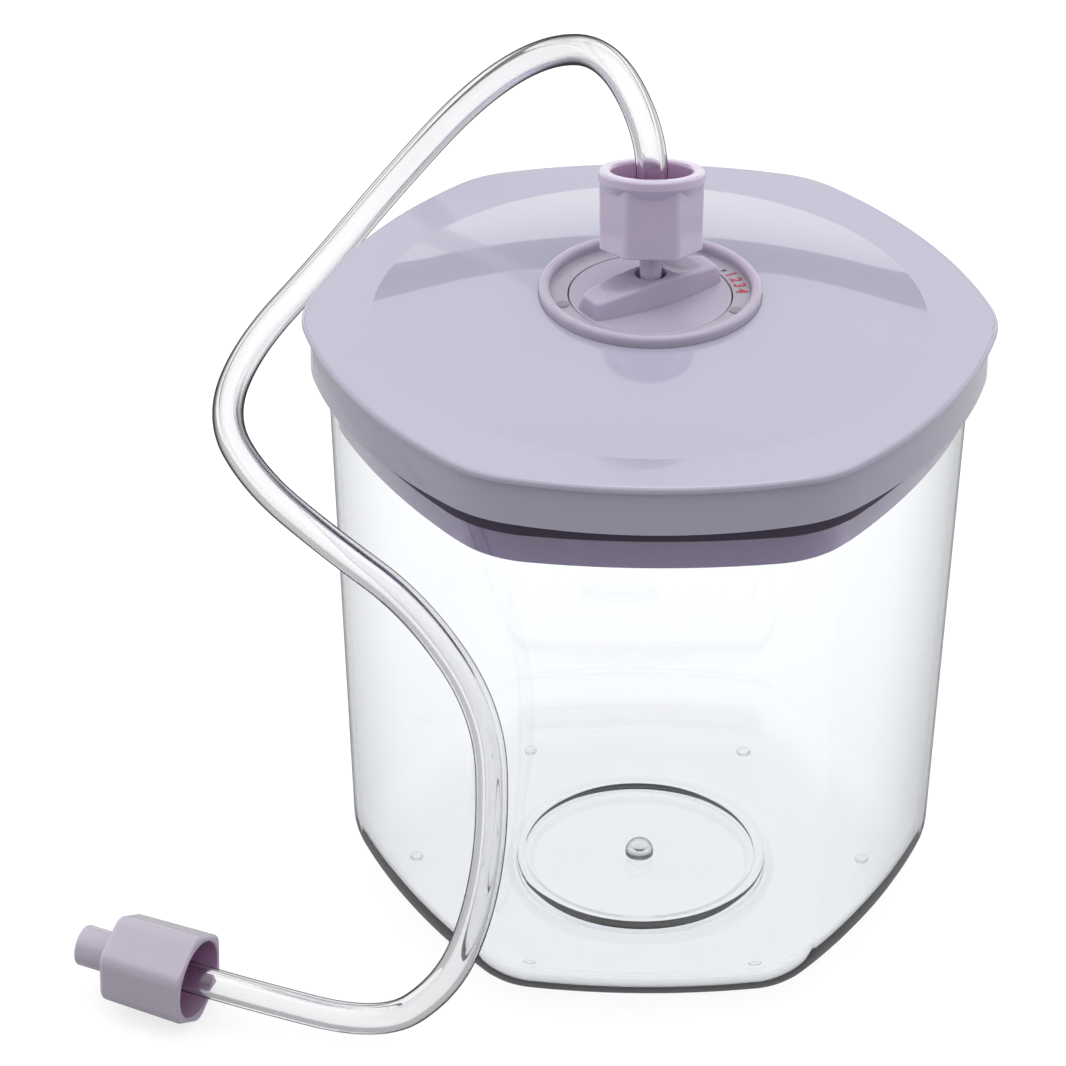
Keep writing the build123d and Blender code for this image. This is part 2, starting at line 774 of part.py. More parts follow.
def make_hose():
    """Clear hose along straight runs joined by tangent arcs."""
    radii = bend_radii()
    print("bend radii", [round(radius, 1) for radius in radii])
    path = FilletPolyline(*hose_points, radius=radii)
    start = Plane(origin=path @ 0, z_dir=path % 0)
    section = start * (Circle(hose_radius) - Circle(hose_bore_radius))
    hose = sweep(section, path=path)
    area = math.pi * (hose_radius**2 - hose_bore_radius**2)
    print("hose length", round(path.length, 1), "volume share", round(hose.volume / (area * path.length), 4))
    return hose


parts = {
    "tank": make_tank,
    "lid_cover": make_lid_cover,
    "lid_plug": make_lid_plug,
    "lid_gasket": make_lid_gasket,
    "dial_ring": make_dial_ring,
    "position_dots": make_position_dots,
    "knob": make_knob,
    "knob_ring_seal": make_knob_ring_seal,
    "knob_clip": make_knob_clip,
    "port_grommet": make_port_grommet,
    "valve_body": make_valve_body,
    "valve_plunger": make_valve_plunger,
    "plunger_pin": make_plunger_pin,
    "plunger_seal": make_plunger_seal,
    "valve_guard": make_valve_guard,
    "hose_adapter": make_hose_adapter,
    "hose": make_hose,
    "pump_adapter": make_pump_adapter,
}

os.makedirs("parts", exist_ok=True)
for name, make in parts.items():
    shape = make()
    if isinstance(shape, list):
        shape = Compound(children=shape)
    export_step(shape, f"parts/{name}.step")
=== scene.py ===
"""Looks of the vacuum seal canister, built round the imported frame."""

import logging
import math
from dataclasses import dataclass, field, replace
from enum import Enum
from typing import Iterable, Sequence

import bmesh
import bpy
import numpy as np
from mathutils import Matrix, Vector

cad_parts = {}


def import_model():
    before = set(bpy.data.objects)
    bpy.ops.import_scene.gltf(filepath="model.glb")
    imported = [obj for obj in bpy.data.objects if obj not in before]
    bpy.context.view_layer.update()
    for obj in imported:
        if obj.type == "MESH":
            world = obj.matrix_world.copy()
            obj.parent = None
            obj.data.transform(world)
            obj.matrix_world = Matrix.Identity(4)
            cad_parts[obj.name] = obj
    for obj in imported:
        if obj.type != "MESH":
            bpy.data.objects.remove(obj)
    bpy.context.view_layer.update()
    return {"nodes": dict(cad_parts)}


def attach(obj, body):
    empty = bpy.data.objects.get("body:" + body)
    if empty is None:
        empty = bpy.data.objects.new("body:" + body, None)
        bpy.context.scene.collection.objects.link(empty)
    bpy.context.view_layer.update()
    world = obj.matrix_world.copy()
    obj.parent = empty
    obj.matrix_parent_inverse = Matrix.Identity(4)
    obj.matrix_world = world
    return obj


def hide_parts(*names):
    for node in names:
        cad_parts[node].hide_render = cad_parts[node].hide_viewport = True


log = logging.getLogger("canister")

MM = 0.001
SIDES = 6
SIDE_TURN = math.tau / SIDES

Point = tuple[float, float, float]
Colour = tuple[float, float, float]
Level = tuple[float, float]
Piece = bpy.types.Object
Socket = bpy.types.NodeSocket

# The hose's line from its end in the lid's fitting to its end in the pump's, in millimetres
HOSE_ROUTE: tuple[Point, ...] = (
    (0.0, 2.5, 168.02),
    (0.0, 3.0, 170.02),
    (0.0, 7.5, 188.02),
    (-9.5, 27.0, 198.52),
    (-23.0, 52.5, 186.52),
    (-39.5, 65.5, 168.52),
    (-58.0, 64.5, 146.5),
    (-74.5, 51.0, 131.0),
    (-90.5, 27.5, 123.0),
    (-95.0, -4.0, 122.5),
    (-85.5, -31.0, 122.5),
    (-69.5, -52.5, 121.0),
    (-50.0, -66.0, 113.0),
    (-34.5, -75.5, 92.5),
    (-33.5, -80.0, 65.5),
    (-37.0, -80.5, 41.5),
    (-44.0, -78.0, 21.5),
    (-58.5, -70.0, 4.0),
    (-90.5, -66.0, 11.0),
    (-111.2, -56.55, 11.45),
    (-113.5, -55.5, 11.5),
)

# Colour sockets of the mix node
MIX_FIRST = 6
MIX_SECOND = 7
MIX_RESULT = 2

# Unevenness of every moulded skin: noise scales per metre, details and strengths
NOISE_MIDDLE = 0.5
FLOW_DETAIL = 2.0
GRAIN_DETAIL = 1.0
SCUFF_SCALE = 140.0
SCUFF_DETAIL = 4.0
SCUFF_BEND = 3.0
SCUFF_THINNESS = 90.0
SCUFF_DEPTH = 0.5
PATCH_SCALE = 22.0
PATCH_DETAIL = 2.0
PATCH_START = 0.58
PATCH_GAIN = 8.0

# Rubbed edges and dust
EDGE_SAMPLES = 6
EDGE_GAIN = 6.0
SPECK_SCALE = 1800.0
RUB_GAIN = 1.12
RUB_LIFT = 0.02

# What scuffs and dust add to the roughness, and the body of every plastic
SCUFF_ROUGHNESS = 0.35
DUST_ROUGHNESS = 0.3
CLEAR_SCUFF_ROUGHNESS = 0.2
COAT_ROUGHNESS = 0.015
PLASTIC_IOR = 1.5
SCATTER_REACH = (0.004, 0.003, 0.004)


def rgba(colour: Colour) -> tuple[float, float, float, float]:
    """Opaque colour for a shader socket."""
    return (*colour, 1.0)


# Node building


@dataclass
class NodeSheet:
    """Short hand for adding nodes and links to one node tree.

    Args:
        tree: The tree that the nodes go into.
    """

    tree: bpy.types.NodeTree

    def add(self, kind: str, **settings: object) -> bpy.types.Node:
        """Add one node.

        Args:
            kind: The node's type name.
            settings: Values for its properties.

        Returns:
            The new node.
        """
        node = self.tree.nodes.new(kind)
        for name, value in settings.items():
            setattr(node, name, value)
        return node

    def link(self, source: Socket, target: Socket) -> None:
        """Link one socket to another."""
        self.tree.links.new(source, target)

    def feed(self, target: Socket, value: object) -> None:
        """Give a socket a link or a plain value.

        Args:
            target: The input socket.
            value: Another node's socket, or a plain value.
        """
        if isinstance(value, Socket):
            self.link(value, target)
        else:
            target.default_value = value

    def math(self, operation: str, *values: object, clamp: bool = False) -> Socket:
        """Add a math node.

        Args:
            operation: The operation's name.
            values: Numbers or sockets for its inputs.
            clamp: Whether the result stays between 0 and 1.

        Returns:
            The result socket.
        """
        node = self.add("ShaderNodeMath", operation=operation, use_clamp=clamp)
        for index, value in enumerate(values):
            self.feed(node.inputs[index], value)
        return node.outputs[0]

    def vector(self, operation: str, *values: object) -> bpy.types.bpy_prop_collection:
        """Add a vector math node.

        Args:
            operation: The operation's name.
            values: Vectors or sockets for its inputs.

        Returns:
            The vector result and the value result.
        """
        node = self.add("ShaderNodeVectorMath", operation=operation)
        for index, value in enumerate(values):
            self.feed(node.inputs[index], value)
        return node.outputs

    def span(self, source: object, low: float, high: float) -> Socket:
        """Smooth rise from 0 to 1.

        Args:
            source: The value that is looked up.
            low: Where the rise starts.
            high: Where the rise ends.

        Returns:
            The risen value.
        """
        node = self.add("ShaderNodeMapRange", interpolation_type="SMOOTHSTEP")
        self.feed(node.inputs[0], source)
        node.inputs[1].default_value = low
        node.inputs[2].default_value = high
        return node.outputs[0]

    def steps(self, source: object, levels: Sequence[Level]) -> Socket:
        """Value that moves through levels in smooth steps.

        Args:
            source: The value that is looked up.
            levels: Places and levels, from low to high.

        Returns:
            The level.
        """
        total: object = levels[0][1]
        for (low, before), (high, after) in zip(levels, levels[1:]):
            if after != before:
                change = self.math("MULTIPLY", self.span(source, low, high), after - before)
                total = self.math("ADD", total, change)
        return total

    def blend(self, factor: object, first: object, second: object) -> Socket:
        """Mix two colours.

        Args:
            factor: Share of the second colour.
            first: Colour or socket.
            second: Colour or socket.

        Returns:
            The mixed colour.
        """
        node = self.add("ShaderNodeMix", data_type="RGBA")
        self.feed(node.inputs[0], factor)
        self.feed(node.inputs[MIX_FIRST], first)
        self.feed(node.inputs[MIX_SECOND], second)
        return node.outputs[MIX_RESULT]

    def mixed(self, factor: object, first: Socket, second: Socket) -> Socket:
        """Mix two shaders.

        Args:
            factor: Share of the second shader.
            first: Output of the first shader.
            second: Output of the second shader.

        Returns:
            The mixed shader.
        """
        node = self.add("ShaderNodeMixShader")
        self.feed(node.inputs[0], factor)
        self.link(first, node.inputs[1])
        self.link(second, node.inputs[2])
        return node.outputs[0]

    def tilt(self, shader: bpy.types.Node, height: Socket, bump: float) -> None:
        """Let a height tilt a shader's surface.

        Args:
            shader: The shader's node.
            height: The unevenness, from 0 to about 1.
            bump: How high it stands, in metres.
        """
        node = self.add("ShaderNodeBump")
        node.inputs["Distance"].default_value = bump
        self.link(height, node.inputs["Height"])
        self.link(node.outputs[0], shader.inputs["Normal"])


def new_material(name: str) -> tuple[bpy.types.Material, NodeSheet]:
    """Start a material with an empty node tree.

    Args:
        name: The material's name.

    Returns:
        The material and its sheet.
    """
    made = bpy.data.materials.new(name)
    made.use_nodes = True
    made.node_tree.nodes.clear()
    return made, NodeSheet(made.node_tree)


def new_group(
    name: str,
    inputs: Sequence[tuple[str, str, float]],
    outputs: Sequence[tuple[str, str]],
) -> tuple[bpy.types.NodeTree, NodeSheet, bpy.types.Node, bpy.types.Node]:
    """Start a shader node group.

    Args:
        name: The group's name.
        inputs: Name, socket type and default of each input.
        outputs: Name and socket type of each output.

    Returns:
        The group, its sheet, its input node and its output node.
    """
    group = bpy.data.node_groups.new(name, "ShaderNodeTree")
    for label, kind, default in inputs:
        group.interface.new_socket(label, in_out="INPUT", socket_type=kind).default_value = default
    for label, kind in outputs:
        group.interface.new_socket(label, in_out="OUTPUT", socket_type=kind)
    sheet = NodeSheet(group)
    return group, sheet, sheet.add("NodeGroupInput"), sheet.add("NodeGroupOutput")


def moulded_skin_group() -> bpy.types.NodeTree:
    """Skin of moulded plastic: slow flow waves, fine grain, and a few faint scuffs.

    Returns:
        A group with a height, a scuff mask and a slow tone.
    """
    group, sheet, given, made = new_group(
        "moulded_skin",
        [("Flow Scale", "NodeSocketFloat", 30.0), ("Grain Scale", "NodeSocketFloat", 900.0),
         ("Grain", "NodeSocketFloat", 0.2), ("Scuffs", "NodeSocketFloat", 0.3)],
        [("Height", "NodeSocketFloat"), ("Scuff", "NodeSocketFloat"), ("Tone", "NodeSocketFloat")],
    )
    place = sheet.add("ShaderNodeTexCoord").outputs["Object"]

    def noise(scale: object, detail: float, distortion: float = 0.0) -> Socket:
        """Add noise over the object's own space.

        Args:
            scale: Waves per metre, as a number or a socket.
            detail: How much finer noise is laid over it.
            distortion: How far it is bent.

        Returns:
            The noise's value.
        """
        node = sheet.add("ShaderNodeTexNoise")
        sheet.link(place, node.inputs["Vector"])
        sheet.feed(node.inputs["Scale"], scale)
        node.inputs["Detail"].default_value = detail
        node.inputs["Distortion"].default_value = distortion
        return node.outputs[0]

    flow = noise(given.outputs["Flow Scale"], FLOW_DETAIL)
    grain = noise(given.outputs["Grain Scale"], GRAIN_DETAIL)
    wander = noise(SCUFF_SCALE, SCUFF_DETAIL, SCUFF_BEND)
    line = sheet.math("ABSOLUTE", sheet.math("SUBTRACT", wander, NOISE_MIDDLE))
    thin = sheet.math("SUBTRACT", 1.0, sheet.math("MULTIPLY", line, SCUFF_THINNESS), clamp=True)
    patch = sheet.math("SUBTRACT", noise(PATCH_SCALE, PATCH_DETAIL), PATCH_START, clamp=True)
    patch = sheet.math("MULTIPLY", patch, PATCH_GAIN, clamp=True)
    scuff = sheet.math("MULTIPLY", sheet.math("MULTIPLY", thin, patch), given.outputs["Scuffs"])
    height = sheet.math("ADD", flow, sheet.math("MULTIPLY", grain, given.outputs["Grain"]))
    height = sheet.math("SUBTRACT", height, sheet.math("MULTIPLY", scuff, SCUFF_DEPTH))
    sheet.link(height, made.inputs["Height"])
    sheet.link(scuff, made.inputs["Scuff"])
    sheet.link(flow, made.inputs["Tone"])
    return group


def edge_polish_group() -> bpy.types.NodeTree:
    """Rubbed edges and settled dust, from how far an edge turns and how the surface slopes.

    Returns:
        A group with an edge mask and a dust mask.
    """
    group, sheet, given, made = new_group(
        "edge_polish",
        [("Edge", "NodeSocketFloat", 0.3), ("Edge Width", "NodeSocketFloat", 0.0005),
         ("Dust", "NodeSocketFloat", 0.02)],
        [("Edge Mask", "NodeSocketFloat"), ("Dust Mask", "NodeSocketFloat")],
    )
    shape = sheet.add("ShaderNodeNewGeometry")
    round_edge = sheet.add("ShaderNodeBevel", samples=EDGE_SAMPLES)
    sheet.link(given.outputs["Edge Width"], round_edge.inputs["Radius"])
    turned = sheet.vector("DOT_PRODUCT", round_edge.outputs[0], shape.outputs["Normal"])[1]
    sharp = sheet.math("MULTIPLY", sheet.math("SUBTRACT", 1.0, turned), EDGE_GAIN, clamp=True)
    sheet.link(sheet.math("MULTIPLY", sharp, given.outputs["Edge"]), made.inputs["Edge Mask"])
    split = sheet.add("ShaderNodeSeparateXYZ")
    sheet.link(shape.outputs["Normal"], split.inputs[0])
    speck = sheet.add("ShaderNodeTexNoise")
    sheet.link(sheet.add("ShaderNodeTexCoord").outputs["Object"], speck.inputs["Vector"])
    speck.inputs["Scale"].default_value = SPECK_SCALE
    upward = sheet.math("MULTIPLY", sheet.math("MAXIMUM", split.outputs[2], 0.0), speck.outputs[0])
    sheet.link(sheet.math("MULTIPLY", upward, given.outputs["Dust"]), made.inputs["Dust Mask"])
    return group


class Effects:
    """The shared node groups, each made once."""

    def __init__(self) -> None:
        """Build both groups."""
        self.skin = moulded_skin_group()
        self.edges = edge_polish_group()

    def add_skin(self, sheet: NodeSheet, flow: float, grain: float, scuffs: float) -> bpy.types.Node:
        """Place the moulded skin in a material.

        Args:
            sheet: The material's node sheet.
            flow: Waves per metre of the slow unevenness.
            grain: Share of fine grain.
            scuffs: Strength of the scuffs.

        Returns:
            The group's node.
        """
        skin = sheet.add("ShaderNodeGroup", node_tree=self.skin)
        skin.inputs["Flow Scale"].default_value = flow
        skin.inputs["Grain"].default_value = grain
        skin.inputs["Scuffs"].default_value = scuffs
        return skin


# Finishes


@dataclass(frozen=True)
class Cup:
    """Bore of a fitting round an end of the hose, whose inside gets painted shade: darker and redder,
    standing in for the shade down the bore and the reddish light let through its thin walls.

    Args:
        hose_end: The hose's last point in the bore, in millimetres.
        hose_next: The hose's next point towards the bore's mouth, in millimetres.
        length: Distance from the bore's foot to its mouth, in metres.
        foot_gap: Distance from the bore's foot to the hose's end, in metres.
        radius: Radius up to which the inside reaches, in metres.
        depth: Distance from the foot at which the inside is reached, in metres.
        bore_shade: Painted shade colour at the bottom.
        slack: How far past the radius the inside fades out, as a factor.
        start: Share of the depth at which the inside starts.
        fade_start: Share of the length from which the colour fades towards the mouth.
        fade: How much of it is gone at the mouth.
    """

    hose_end: Point
    hose_next: Point
    length: float
    foot_gap: float = 0.005
    radius: float = 0.0092
    depth: float = 0.003
    bore_shade: Colour = (0.40, 0.18, 0.36)
    slack: float = 1.04
    start: float = 0.8
    fade_start: float = 0.55
    fade: float = 0.6

    def mask(self, sheet: NodeSheet) -> Socket:
        """Nodes that give 1 far down in the bore, where the painted shade goes, and 0 outside it.

        Args:
            sheet: The material's node sheet.

        Returns:
            The mask.
        """
        axis = (Vector(self.hose_next) - Vector(self.hose_end)).normalized()
        foot = Vector(self.hose_end) * MM - axis * self.foot_gap
        away = sheet.vector("SUBTRACT", sheet.add("ShaderNodeTexCoord").outputs["Object"], foot)[0]
        along = sheet.vector("DOT_PRODUCT", away, axis)[1]
        across = sheet.vector("LENGTH", sheet.vector("CROSS_PRODUCT", away, axis)[0])[1]
        inside = sheet.math("SUBTRACT", 1.0, sheet.span(across, self.radius, self.radius * self.slack))
        above = sheet.span(along, self.depth * self.start, self.depth)
        rise = sheet.span(along, self.length * self.fade_start, self.length)
        fading = sheet.math("SUBTRACT", 1.0, sheet.math("MULTIPLY", rise, self.fade))
        return sheet.math("MULTIPLY", sheet.math("MULTIPLY", inside, above), fading)


@dataclass(frozen=True)
class MouldedPlastic:
    """Opaque moulded plastic or rubber.

    Args:
        name: The material's name.
        colour: Base colour, linear.
        shade: Colour that the base drifts towards in slow waves.
        roughness: Roughness of the plain surface.
        coat: Weight of the clear gloss on top.
        flow: Waves per metre of the slow unevenness.
        bump: Height of the unevenness, in metres.
        grain: Share of fine grain in the unevenness.
        scuffs: Strength of the faint scuffs.
        edge: Strength of the rubbed edges.
        glow: Weight of light scattered under the surface.
        cup: Bore whose inside gets painted shade.
    """

    name: str
    colour: Colour
    shade: Colour
    roughness: float = 0.25
    coat: float = 0.0
    flow: float = 30.0
    bump: float = 0.00002
    grain: float = 0.1
    scuffs: float = 0.3
    edge: float = 0.2
    glow: float = 0.0
    cup: Cup | None = None

    def material(self, effects: Effects) -> bpy.types.Material:
        """Build the material.

        Args:
            effects: The shared node groups.

        Returns:
            The finished material.
        """
        made, sheet = new_material(self.name)
        skin = effects.add_skin(sheet, self.flow, self.grain, self.scuffs)
        rub = sheet.add("ShaderNodeGroup", node_tree=effects.edges)
        rub.inputs["Edge"].default_value = self.edge
        shader = sheet.add("ShaderNodeBsdfPrincipled")
        tone = sheet.blend(skin.outputs["Tone"], rgba(self.colour), rgba(self.shade))
        paler = tuple(min(1.0, level * RUB_GAIN + RUB_LIFT) for level in self.colour)
        tone = sheet.blend(rub.outputs["Edge Mask"], tone, rgba(paler))
        # Painted shade down the fitting's bore: darker and redder towards the bottom.
        if self.cup:
            tone = sheet.blend(self.cup.mask(sheet), tone, rgba(self.cup.bore_shade))
        sheet.link(tone, shader.inputs["Base Color"])
        scuffed = sheet.math("MULTIPLY", skin.outputs["Scuff"], SCUFF_ROUGHNESS)
        dusted = sheet.math("MULTIPLY", rub.outputs["Dust Mask"], DUST_ROUGHNESS)
        rough = sheet.math("ADD", sheet.math("ADD", self.roughness, scuffed), dusted)
        sheet.link(rough, shader.inputs["Roughness"])
        shader.inputs["Coat Weight"].default_value = self.coat
        shader.inputs["Coat Roughness"].default_value = COAT_ROUGHNESS
        shader.inputs["IOR"].default_value = PLASTIC_IOR
        shader.inputs["Subsurface Weight"].default_value = self.glow
        shader.inputs["Subsurface Radius"].default_value = SCATTER_REACH
        shader.inputs["Subsurface Scale"].default_value = 1.0
        sheet.tilt(shader, skin.outputs["Height"], self.bump)
        sheet.link(shader.outputs[0], sheet.add("ShaderNodeOutputMaterial").inputs["Surface"])
        return made


@dataclass(frozen=True)
class ClearPlastic:
    """Clear plastic with its own tint, painted dark edge shade where a wall is seen edge on, thin
    moulding waves and faint scuffs.

    Args:
        name: The material's name.
        tint: Colour that light takes at the surface, linear.
        ior: Index of refraction.
        depth_tint: Colour left by light that crosses the plastic's thickness.
        density: How strongly the thickness tints, per metre.
        shadow: Share of light that passes each face towards a shadow.
        edge_shade: Colour of the painted shade on a wall that is seen edge on.
        edge_start: Facing at which that colour starts.
        edge_full: Facing from which it shows in full.
        edge_share: How much of that colour shows in the end.
        edge_behind: Share of it that is kept behind another clear face.
        mirror_pass: Share of mirrored light that passes each face straight on.
        bump: Height of the moulding waves, in metres.
        flow: Waves per metre.
        scuffs: Strength of the faint scuffs.
    """

    name: str
    tint: Colour
    ior: float
    depth_tint: Colour
    density: float
    shadow: Colour = (0.93, 0.93, 0.935)
    edge_shade: Colour = (0.13, 0.135, 0.15)
    edge_start: float = 0.58
    edge_full: float = 1.0
    edge_share: float = 0.7
    edge_behind: float = 0.07
    mirror_pass: float = 0.0
    bump: float = 0.0000015
    flow: float = 24.0
    scuffs: float = 0.2

    def material(self, effects: Effects) -> bpy.types.Material:
        """Build the material.

        Args:
            effects: The shared node groups.

        Returns:
            The finished material.
        """
        made, sheet = new_material(self.name)
        skin = effects.add_skin(sheet, self.flow, 0.0, self.scuffs)
        shader = sheet.add("ShaderNodeBsdfPrincipled")
        paler = tuple((1.0 + level) / 2 for level in self.tint)
        clear = sheet.blend(skin.outputs["Tone"], rgba(self.tint), rgba(paler))
        sheet.link(clear, shader.inputs["Base Color"])
        scuffed = sheet.math("MULTIPLY", skin.outputs["Scuff"], CLEAR_SCUFF_ROUGHNESS)
        sheet.link(scuffed, shader.inputs["Roughness"])
        shader.inputs["Transmission Weight"].default_value = 1.0
        shader.inputs["IOR"].default_value = self.ior
        sheet.tilt(shader, skin.outputs["Height"], self.bump)
        body = sheet.add("ShaderNodeVolumeAbsorption")
        body.inputs["Color"].default_value = rgba(self.depth_tint)
        body.inputs["Density"].default_value = self.density
        # Painted shade: a dark matte layer mixed in where the surface is seen edge on, for the dark
        # outlines of the clear walls.
        facing = sheet.add("ShaderNodeLayerWeight").outputs["Facing"]
        graze = sheet.span(facing, self.edge_start, self.edge_full)
        rim = sheet.add("ShaderNodeBsdfDiffuse")
        rim.inputs["Color"].default_value = rgba(self.edge_shade)
        path = sheet.add("ShaderNodeLightPath")
        hidden = sheet.math("MULTIPLY", path.outputs["Is Glossy Ray"], 1.0 - self.edge_behind)
        share = sheet.math("MULTIPLY", sheet.math("SUBTRACT", 1.0, hidden), self.edge_share)
        share = sheet.math("MULTIPLY", graze, share)
        edge_shaded = sheet.mixed(share, shader.outputs[0], rim.outputs[0])
        passing = sheet.add("ShaderNodeBsdfTransparent")
        passing.inputs["Color"].default_value = rgba(self.shadow)
        lit = sheet.math("MAXIMUM", path.outputs["Is Shadow Ray"], path.outputs["Is Diffuse Ray"])
        glossy, through = path.outputs["Is Glossy Ray"], path.outputs["Is Transmission Ray"]
        mirrored = sheet.math("SUBTRACT", glossy, through, clamp=True)
        lit = sheet.math("MAXIMUM", lit, sheet.math("MULTIPLY", mirrored, self.mirror_pass))
        ending = sheet.add("ShaderNodeOutputMaterial")
        sheet.link(sheet.mixed(lit, edge_shaded, passing.outputs[0]), ending.inputs["Surface"])
        sheet.link(body.outputs[0], ending.inputs["Volume"])
        return made


class Finish(Enum):
    """Every finish on the canister."""

    # The clear finishes carry painted dark edge shade; the nub's and the hose's are stronger.
    TANK = ClearPlastic("tank_clear", (0.995, 0.998, 1.0), 1.54, (0.58, 0.66, 0.76), 34.0)
    NUB = replace(
        TANK, name="nub_clear", edge_shade=(0.09, 0.095, 0.11),
        edge_start=0.2, edge_full=0.85, edge_share=0.85, edge_behind=0.9,
    )
    HOSE = ClearPlastic(
        "hose_clear", (0.985, 0.985, 0.988), 1.5, (0.60, 0.60, 0.64), 80.0,
        edge_shade=(0.03, 0.03, 0.035), edge_start=0.57, edge_full=0.8, edge_share=0.95, mirror_pass=0.9,
        bump=0.0000003, flow=60.0, scuffs=0.05,
    )
    LID = MouldedPlastic(
        "lid_lilac", (0.368, 0.358, 0.462), (0.375, 0.365, 0.470),
        roughness=0.2, coat=1.0, flow=14.0, bump=0.000004, grain=0.0, scuffs=0.05,
    )
    PLUG = MouldedPlastic("plug_violet", (0.200, 0.133, 0.312), (0.208, 0.139, 0.322), roughness=0.2)
    # Near-black plum on the gasket is painted shade: it stands in for the shadow gap under the lid's
    # skirt.
    GASKET_SHADOW = MouldedPlastic(
        "gasket_painted_shadow", (0.030, 0.018, 0.048), (0.038, 0.024, 0.056),
        roughness=0.45, bump=0.00004, grain=0.4,
    )
    DIAL = MouldedPlastic(
        "dial_mauve", (0.410, 0.378, 0.460), (0.418, 0.385, 0.468),
        roughness=0.24, flow=45.0, bump=0.000003, grain=0.15, scuffs=0.04, glow=0.7,
    )
    KNOB = replace(
        DIAL, name="knob_mauve", colour=(0.420, 0.380, 0.488), shade=(0.428, 0.387, 0.496),
        roughness=0.26, glow=0.6,
    )
    LID_FITTING = MouldedPlastic(
        "fitting_mauve", (0.500, 0.440, 0.570), (0.511, 0.450, 0.582),
        roughness=0.2, coat=0.7, flow=60.0, bump=0.000005, grain=0.3, scuffs=0.1, glow=0.35,
        cup=Cup(HOSE_ROUTE[0], HOSE_ROUTE[1], 0.0179),
    )
    PUMP_FITTING = replace(
        LID_FITTING, name="pump_fitting_mauve", colour=(0.455, 0.412, 0.500), shade=(0.466, 0.422, 0.512),
        cup=Cup(HOSE_ROUTE[-1], HOSE_ROUTE[-2], 0.0205),
    )
    DOTS = MouldedPlastic("dots_grey", (0.25, 0.24, 0.28), (0.26, 0.25, 0.29), roughness=0.35)
    MARKS = MouldedPlastic("marks_red", (0.48, 0.03, 0.06), (0.50, 0.04, 0.07), roughness=0.4)
    POINTER = MouldedPlastic("pointer_dark", (0.05, 0.05, 0.06), (0.07, 0.07, 0.08), roughness=0.4)
    SEALS = MouldedPlastic(
        "seal_dark", (0.03, 0.03, 0.035), (0.04, 0.04, 0.045), roughness=0.5, grain=0.4,
    )
    VALVE = MouldedPlastic("valve_white", (0.74, 0.74, 0.76), (0.78, 0.78, 0.80), roughness=0.35)
    STEEL = MouldedPlastic("pin_steel", (0.55, 0.55, 0.56), (0.60, 0.60, 0.61), roughness=0.25)


class Wardrobe:
    """Builds each finish once and puts it on pieces."""

    def __init__(self) -> None:
        """Start with the shared effects and no finish."""
        self.effects = Effects()
        self.made: dict[Finish, bpy.types.Material] = {}

    def dress(self, piece: Piece, finish: Finish) -> None:
        """Put one finish on a piece.

        Args:
            piece: The object that is dressed.
            finish: The finish.
        """
        if finish not in self.made:
            self.made[finish] = finish.value.material(self.effects)
        if piece.material_slots:
            for held in piece.material_slots:
                held.material = self.made[finish]
        else:
            piece.data.materials.append(self.made[finish])


# Objects and meshes


def add_object(name: str, data: bpy.types.ID) -> Piece:
    """Add an object to the scene.

    Args:
        name: The object's name.
        data: Its mesh, curve, light or camera.

    Returns:
        The linked object.
    """
    piece = bpy.data.objects.new(name, data)
    bpy.context.scene.collection.objects.link(piece)
    return piece


def curve_mesh(curve: bpy.types.Curve) -> bpy.types.Mesh:
    """Mesh of a curve or a text, which it uses up.

    Args:
        curve: The curve or text.

    Returns:
        The mesh.
    """
    carrier = add_object("carrier", curve)
    bpy.context.view_layer.update()
    mesh = bpy.data.meshes.new_from_object(carrier)
    bpy.data.objects.remove(carrier)
    bpy.data.curves.remove(curve)
    return mesh


def mesh_piece(name: str, vertices: np.ndarray, faces: Iterable[Sequence[int]]) -> Piece:
    """Smooth mesh object from points in millimetres.

    Args:
        name: The object's name.
        vertices: One row of x, y, z for each point.
        faces: Point numbers of each face.

    Returns:
        The linked object.
    """
    mesh = bpy.data.meshes.new(name)
    mesh.from_pydata((np.asarray(vertices) * MM).tolist(), [], [tuple(face) for face in faces])
    mesh.validate()
    work = bmesh.new()
    work.from_mesh(mesh)
    bmesh.ops.recalc_face_normals(work, faces=work.faces)
    work.to_mesh(mesh)
    work.free()
    mesh.shade_smooth()
    return add_object(name, mesh)


def stack_faces(rings: int, count: int, closed: bool) -> list[tuple[int, int, int, int]]:
    """Quads between rings of points that follow each other.

    Args:
        rings: How many rings there are.
        count: Points in each ring.
        closed: Whether the last ring joins the first.

    Returns:
        The quads.
    """
    quads = []
    for ring in range(rings if closed else rings - 1):
        here, after = ring * count, ((ring + 1) % rings) * count
        for step in range(count):
            turn = (step + 1) % count
            quads.append((here + step, here + turn, after + turn, after + step))
    return quads


def capped_faces(rings: int, count: int) -> list[Sequence[int]]:
    """Quads between rings in a row, with a cap on the first ring and one on the last.

    Args:
        rings: How many rings there are.
        count: Points in each ring.

    Returns:
        The faces.
    """
    last = (rings - 1) * count
    return [*stack_faces(rings, count, False), range(count), range(last, last + count)]


def ring_row(centre: Sequence[float], radius: float, height: float, count: int) -> np.ndarray:
    """Round ring of points at one height.

    Args:
        centre: The ring's middle, x and y.
        radius: The ring's radius.
        height: The ring's height.
        count: How many points it has.

    Returns:
        One row for each point.
    """
    turns = np.linspace(0, math.tau, count, endpoint=False)
    across = centre[0] + radius * np.cos(turns)
    along = centre[1] + radius * np.sin(turns)
    return np.column_stack([across, along, np.full(count, height)])


def quarter_round(radius: float, count: int) -> list[Level]:
    """Points of a quarter round from a flat face to the wall beside it.

    Args:
        radius: Its radius.
        count: How many points it has.

    Returns:
        Distance from the wall and from the flat face, for each point.
    """
    angles = np.linspace(0, math.pi / 2, count)
    return [(radius * (1 - math.sin(angle)), radius * (1 - math.cos(angle))) for angle in angles]


